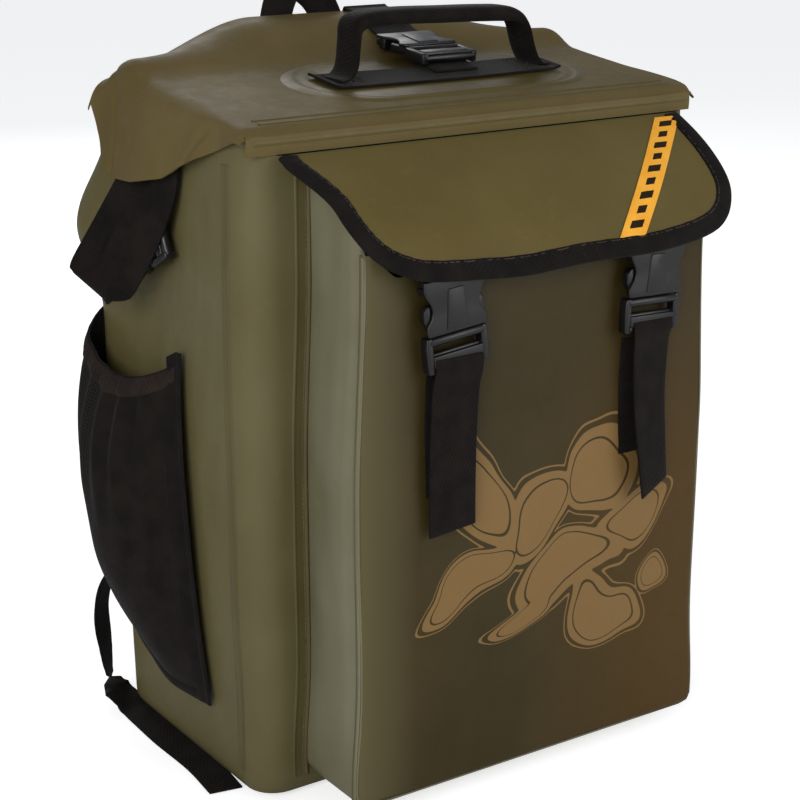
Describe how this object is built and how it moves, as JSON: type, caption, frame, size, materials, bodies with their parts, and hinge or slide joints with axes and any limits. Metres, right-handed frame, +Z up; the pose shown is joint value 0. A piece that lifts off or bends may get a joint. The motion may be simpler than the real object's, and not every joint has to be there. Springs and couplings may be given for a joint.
{
  "type": "tackle backpack",
  "caption": "Roll-top tarpaulin backpack with a flapped front pocket on clips, mesh side pockets, top carry handle and padded shoulder straps.",
  "frame": {"origin": "centre of the main body's base, on the floor", "axes": "+Z up, the front pocket and its flap face -Y, the shoulder straps are on the +Y side, +X is the right-hand side seen from the front"},
  "size_m": [0.4934, 0.3939, 0.5428],
  "materials": {
    "tarpaulin": "olive PVC-coated tarpaulin, semi-matt",
    "pocket_tarpaulin": "dark olive coated fabric with a tan printed pattern",
    "webbing": "black woven polyester webbing",
    "mesh": "black elastic mesh and woven fabric",
    "padding": "black padded fabric over foam",
    "clip_plastic": "black acetal, fine moulded texture",
    "label": "amber woven ribbon",
    "stiffener": "black polyethylene strip"
  },
  "bodies": {
    "pack": {"front_panel": "tarpaulin", "back_panel": "tarpaulin", "side_panel_left": "tarpaulin", "side_panel_right": "tarpaulin", "base_panel": "tarpaulin", "back_pad": "padding", "pocket_face": "pocket_tarpaulin", "pocket_gusset": "tarpaulin", "haul_loop": "webbing", "shoulder_yoke": "padding", "front_anchor_left": "webbing", "front_anchor_right": "webbing", "mesh_pocket_left": "mesh", "mesh_pocket_right": "mesh", "pocket_elastic_left": "mesh", "pocket_elastic_right": "mesh", "side_socket_left": "clip_plastic", "side_socket_right": "clip_plastic", "side_anchor_left": "webbing", "side_anchor_right": "webbing", "shoulder_strap_left": "padding", "shoulder_strap_right": "padding", "lower_strap_left": "webbing", "lower_strap_right": "webbing", "floor_tail_left": "webbing", "floor_tail_right": "webbing"},
    "roll_top": {"roll_cover": "tarpaulin", "roll_bundle": "tarpaulin", "mouth_stiffener": "stiffener", "handle_patch": "tarpaulin", "handle_plate": "webbing", "roll_ear_left": "tarpaulin", "roll_ear_right": "tarpaulin", "ear_strap_left": "webbing", "ear_strap_right": "webbing", "side_clip_left": "clip_plastic", "side_clip_right": "clip_plastic", "top_socket": "clip_plastic", "top_strap": "webbing"},
    "top_clip": {"top_clip": "clip_plastic", "top_tab": "webbing"},
    "handle": {"handle_strap": "webbing", "handle_grip": "webbing"},
    "flap": {"flap_panel": "pocket_tarpaulin", "flap_binding": "webbing", "flap_label": "label", "flap_tab_left": "webbing", "flap_tab_right": "webbing", "front_socket_left": "clip_plastic", "front_socket_right": "clip_plastic"},
    "front_clip_left": {"front_clip_left": "clip_plastic", "front_tail_left": "webbing"},
    "clip_arm_inner_left": {"clip_arm_inner_left": "clip_plastic"},
    "clip_arm_outer_left": {"clip_arm_outer_left": "clip_plastic"},
    "strap_adjuster_left": {"strap_adjuster_left": "clip_plastic"},
    "front_clip_right": {"front_clip_right": "clip_plastic", "front_tail_right": "webbing"},
    "clip_arm_inner_right": {"clip_arm_inner_right": "clip_plastic"},
    "clip_arm_outer_right": {"clip_arm_outer_right": "clip_plastic"},
    "strap_adjuster_right": {"strap_adjuster_right": "clip_plastic"}
  },
  "joints": [
    {"name": "roll_top_hinge", "type": "hinge", "parent": "pack", "child": "roll_top", "pos_m": [0, 0.1085, 0.528], "axis": [-1, 0, 0], "range_deg": [0, 100]},
    {"name": "flap_hinge", "type": "hinge", "parent": "pack", "child": "flap", "pos_m": [0, -0.1135, 0.465], "axis": [-1, 0, 0], "range_deg": [0, 120]},
    {"name": "handle_fold", "type": "hinge", "parent": "roll_top", "child": "handle", "pos_m": [0.021, -0.018, 0.5114], "axis": [1, 0, 0], "range_deg": [-35, 70]},
    {"name": "top_clip_release", "type": "slide", "parent": "roll_top", "child": "top_clip", "axis": [0, -0.9931, -0.117], "range_m": [0, 0.024]},
    {"name": "front_clip_left_release", "type": "slide", "parent": "pack", "child": "front_clip_left", "axis": [0, 0, -1], "range_m": [0, 0.03]},
    {"name": "clip_arm_inner_left_squeeze", "type": "hinge", "parent": "front_clip_left", "child": "clip_arm_inner_left", "pos_m": [-0.0695, -0.1833, 0.3545], "axis": [0, -1, 0], "range_deg": [0, 12], "stiffness_Nm_per_rad": 0.3},
    {"name": "clip_arm_outer_left_squeeze", "type": "hinge", "parent": "front_clip_left", "child": "clip_arm_outer_left", "pos_m": [-0.1045, -0.1833, 0.3545], "axis": [0, 1, 0], "range_deg": [0, 12], "stiffness_Nm_per_rad": 0.3},
    {"name": "strap_adjuster_left_tilt", "type": "hinge", "parent": "pack", "child": "strap_adjuster_left", "pos_m": [-0.1, 0.146, 0.171], "axis": [1, 0, 0], "range_deg": [0, 35]},
    {"name": "front_clip_right_release", "type": "slide", "parent": "pack", "child": "front_clip_right", "axis": [0, 0, -1], "range_m": [0, 0.03]},
    {"name": "clip_arm_inner_right_squeeze", "type": "hinge", "parent": "front_clip_right", "child": "clip_arm_inner_right", "pos_m": [0.0695, -0.1833, 0.3545], "axis": [0, 1, 0], "range_deg": [0, 12], "stiffness_Nm_per_rad": 0.3},
    {"name": "clip_arm_outer_right_squeeze", "type": "hinge", "parent": "front_clip_right", "child": "clip_arm_outer_right", "pos_m": [0.1045, -0.1833, 0.3545], "axis": [0, -1, 0], "range_deg": [0, 12], "stiffness_Nm_per_rad": 0.3},
    {"name": "strap_adjuster_right_tilt", "type": "hinge", "parent": "pack", "child": "strap_adjuster_right", "pos_m": [0.1, 0.146, 0.171], "axis": [1, 0, 0], "range_deg": [0, 35]}
  ],
  "couplings": [
    {"joint": "clip_arm_outer_left_squeeze", "follows": "clip_arm_inner_left_squeeze", "ratio": 1},
    {"joint": "clip_arm_outer_right_squeeze", "follows": "clip_arm_inner_right_squeeze", "ratio": 1}
  ]
}
